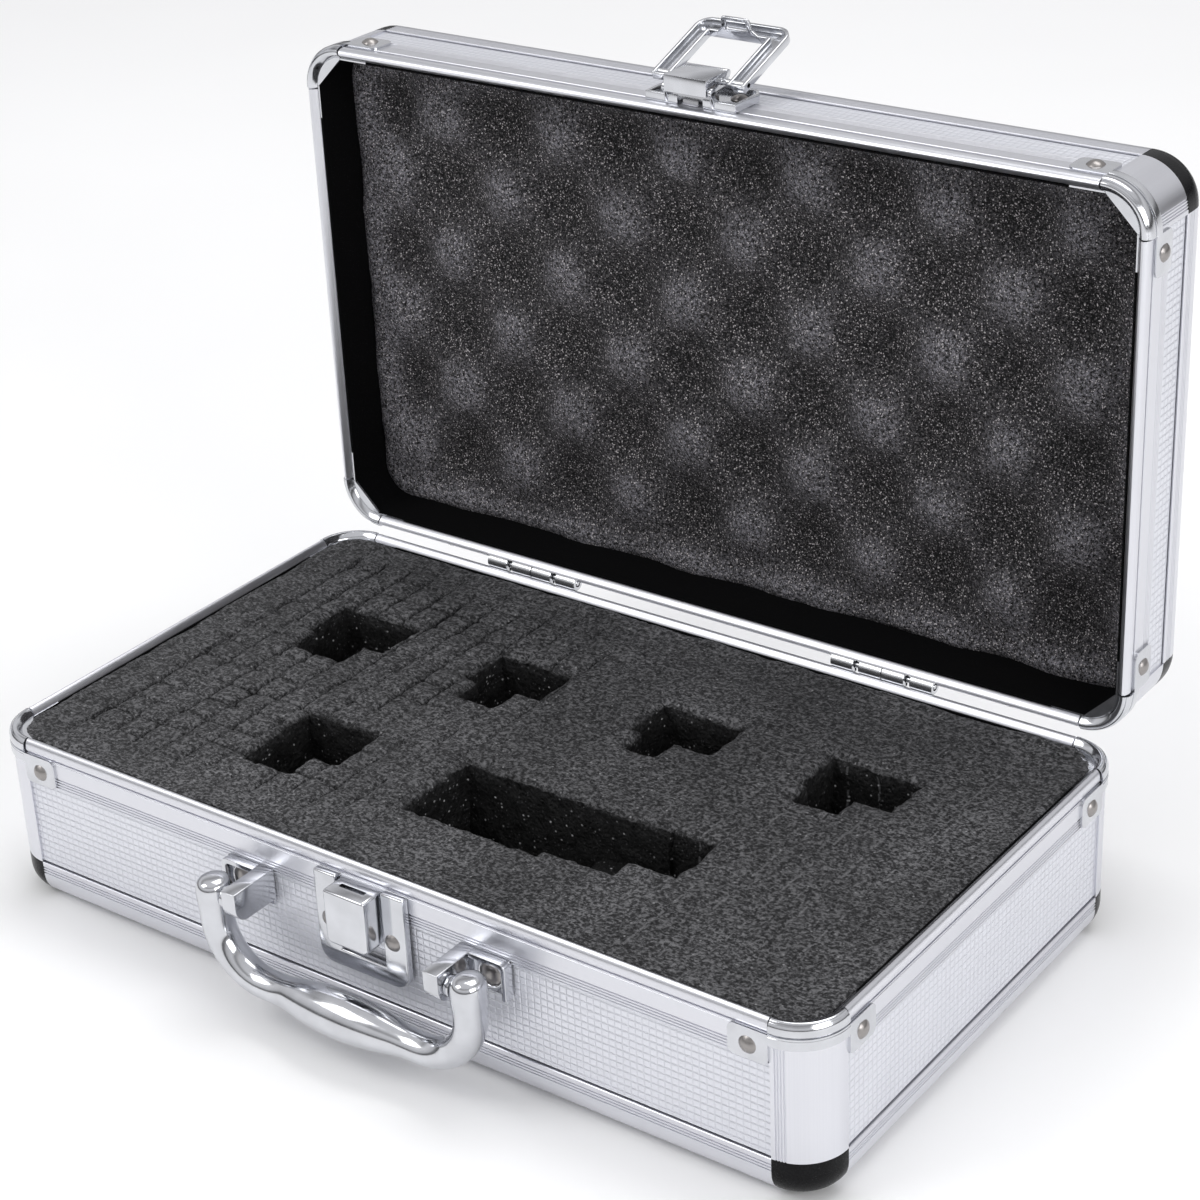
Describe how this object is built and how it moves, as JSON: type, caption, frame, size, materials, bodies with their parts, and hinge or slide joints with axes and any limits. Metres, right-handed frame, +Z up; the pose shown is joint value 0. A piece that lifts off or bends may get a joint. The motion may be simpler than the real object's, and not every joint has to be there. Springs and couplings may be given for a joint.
{
  "type": "aluminum attache case",
  "caption": "Small hard attache case with aluminium edges, standing open: hinged lid with egg-crate foam, plucked foam tray, over-centre draw latch and swinging handle.",
  "frame": {"origin": "centre of the base's underside, on the surface the case stands on", "axes": "+X along the case's width, to the right as seen from the front; -Y towards the handle and the latch; +Y towards the hinges; +Z up"},
  "size_m": [0.2686, 0.2006, 0.2213],
  "materials": {
    "panel_laminate": "satin silver-white laminate pressed with small squares",
    "aluminium_profile": "satin extruded aluminium with fine grooves",
    "black_corner": "satin black",
    "bright_chrome": "polished",
    "rivet_steel": "satin grey-brown steel",
    "bright_steel": "bright plated steel",
    "spring_steel": "dark spring steel",
    "black_lining": "matte black",
    "pluck_foam": "matte dark grey diced foam",
    "wave_foam": "matte dark grey egg-crate foam",
    "black_rubber": "matte black"
  },
  "bodies": {
    "base": {"base_bottom_panel": "panel_laminate", "base_front_panel": "panel_laminate", "base_rear_panel": "panel_laminate", "base_left_panel": "panel_laminate", "base_right_panel": "panel_laminate", "base_front_rim": "aluminium_profile", "base_rear_rim": "aluminium_profile", "base_left_rim": "aluminium_profile", "base_right_rim": "aluminium_profile", "base_front_edge_profile": "aluminium_profile", "base_rear_edge_profile": "aluminium_profile", "base_left_edge_profile": "aluminium_profile", "base_right_edge_profile": "aluminium_profile", "base_corner_posts": "aluminium_profile", "base_ball_corners": "black_corner", "base_rim_corners": "bright_chrome", "base_corner_rivets": "rivet_steel", "base_leaf_rivets": "rivet_steel", "base_lining": "black_lining", "base_hinge_leaves": "bright_steel", "base_rear_feet": "black_rubber", "base_foam_block": "pluck_foam", "base_foam_pad": "pluck_foam", "hinge_pins": "bright_steel", "latch_keeper": "bright_chrome", "handle_bracket_left": "bright_chrome", "handle_bracket_right": "bright_chrome", "keeper_rivets": "rivet_steel", "handle_bracket_rivets": "rivet_steel", "handle_pins": "rivet_steel"},
    "lid": {"lid_top_panel": "panel_laminate", "lid_front_panel": "panel_laminate", "lid_rear_panel": "panel_laminate", "lid_left_panel": "panel_laminate", "lid_right_panel": "panel_laminate", "lid_front_rim": "aluminium_profile", "lid_rear_rim": "aluminium_profile", "lid_left_rim": "aluminium_profile", "lid_right_rim": "aluminium_profile", "lid_front_edge_profile": "aluminium_profile", "lid_rear_edge_profile": "aluminium_profile", "lid_left_edge_profile": "aluminium_profile", "lid_right_edge_profile": "aluminium_profile", "lid_corner_posts": "aluminium_profile", "lid_ball_corners": "black_corner", "lid_rim_corners": "bright_chrome", "lid_corner_rivets": "rivet_steel", "lid_leaf_rivets": "rivet_steel", "lid_lining": "black_lining", "lid_hinge_leaves": "bright_steel", "lid_rear_feet": "black_rubber", "lid_wave_foam": "wave_foam", "latch_plate": "bright_chrome", "latch_plate_rivets": "rivet_steel", "latch_lever_pin": "rivet_steel", "latch_spring": "spring_steel"},
    "lever": {"latch_lever": "bright_chrome", "latch_loop_pin": "rivet_steel"},
    "loop": {"latch_loop": "bright_chrome"},
    "handle": {"handle_grip": "bright_chrome"}
  },
  "joints": [
    {"name": "lid_hinge", "type": "hinge", "parent": "base", "child": "lid", "pos_m": [0, 0.07555, 0.05245], "axis": [1, 0, 0], "range_deg": [0, 90]},
    {"name": "latch_lever", "type": "hinge", "parent": "lid", "child": "lever", "pos_m": [0, 0.0764, 0.2076], "axis": [1, 0, 0], "range_deg": [0, 118]},
    {"name": "latch_loop", "type": "hinge", "parent": "lever", "child": "loop", "pos_m": [0, 0.0828, 0.209], "axis": [1, 0, 0], "range_deg": [0, 46]},
    {"name": "handle_swing", "type": "hinge", "parent": "base", "child": "handle", "pos_m": [0, -0.086, 0.0355], "axis": [-1, 0, 0], "range_deg": [0, 90]}
  ]
}
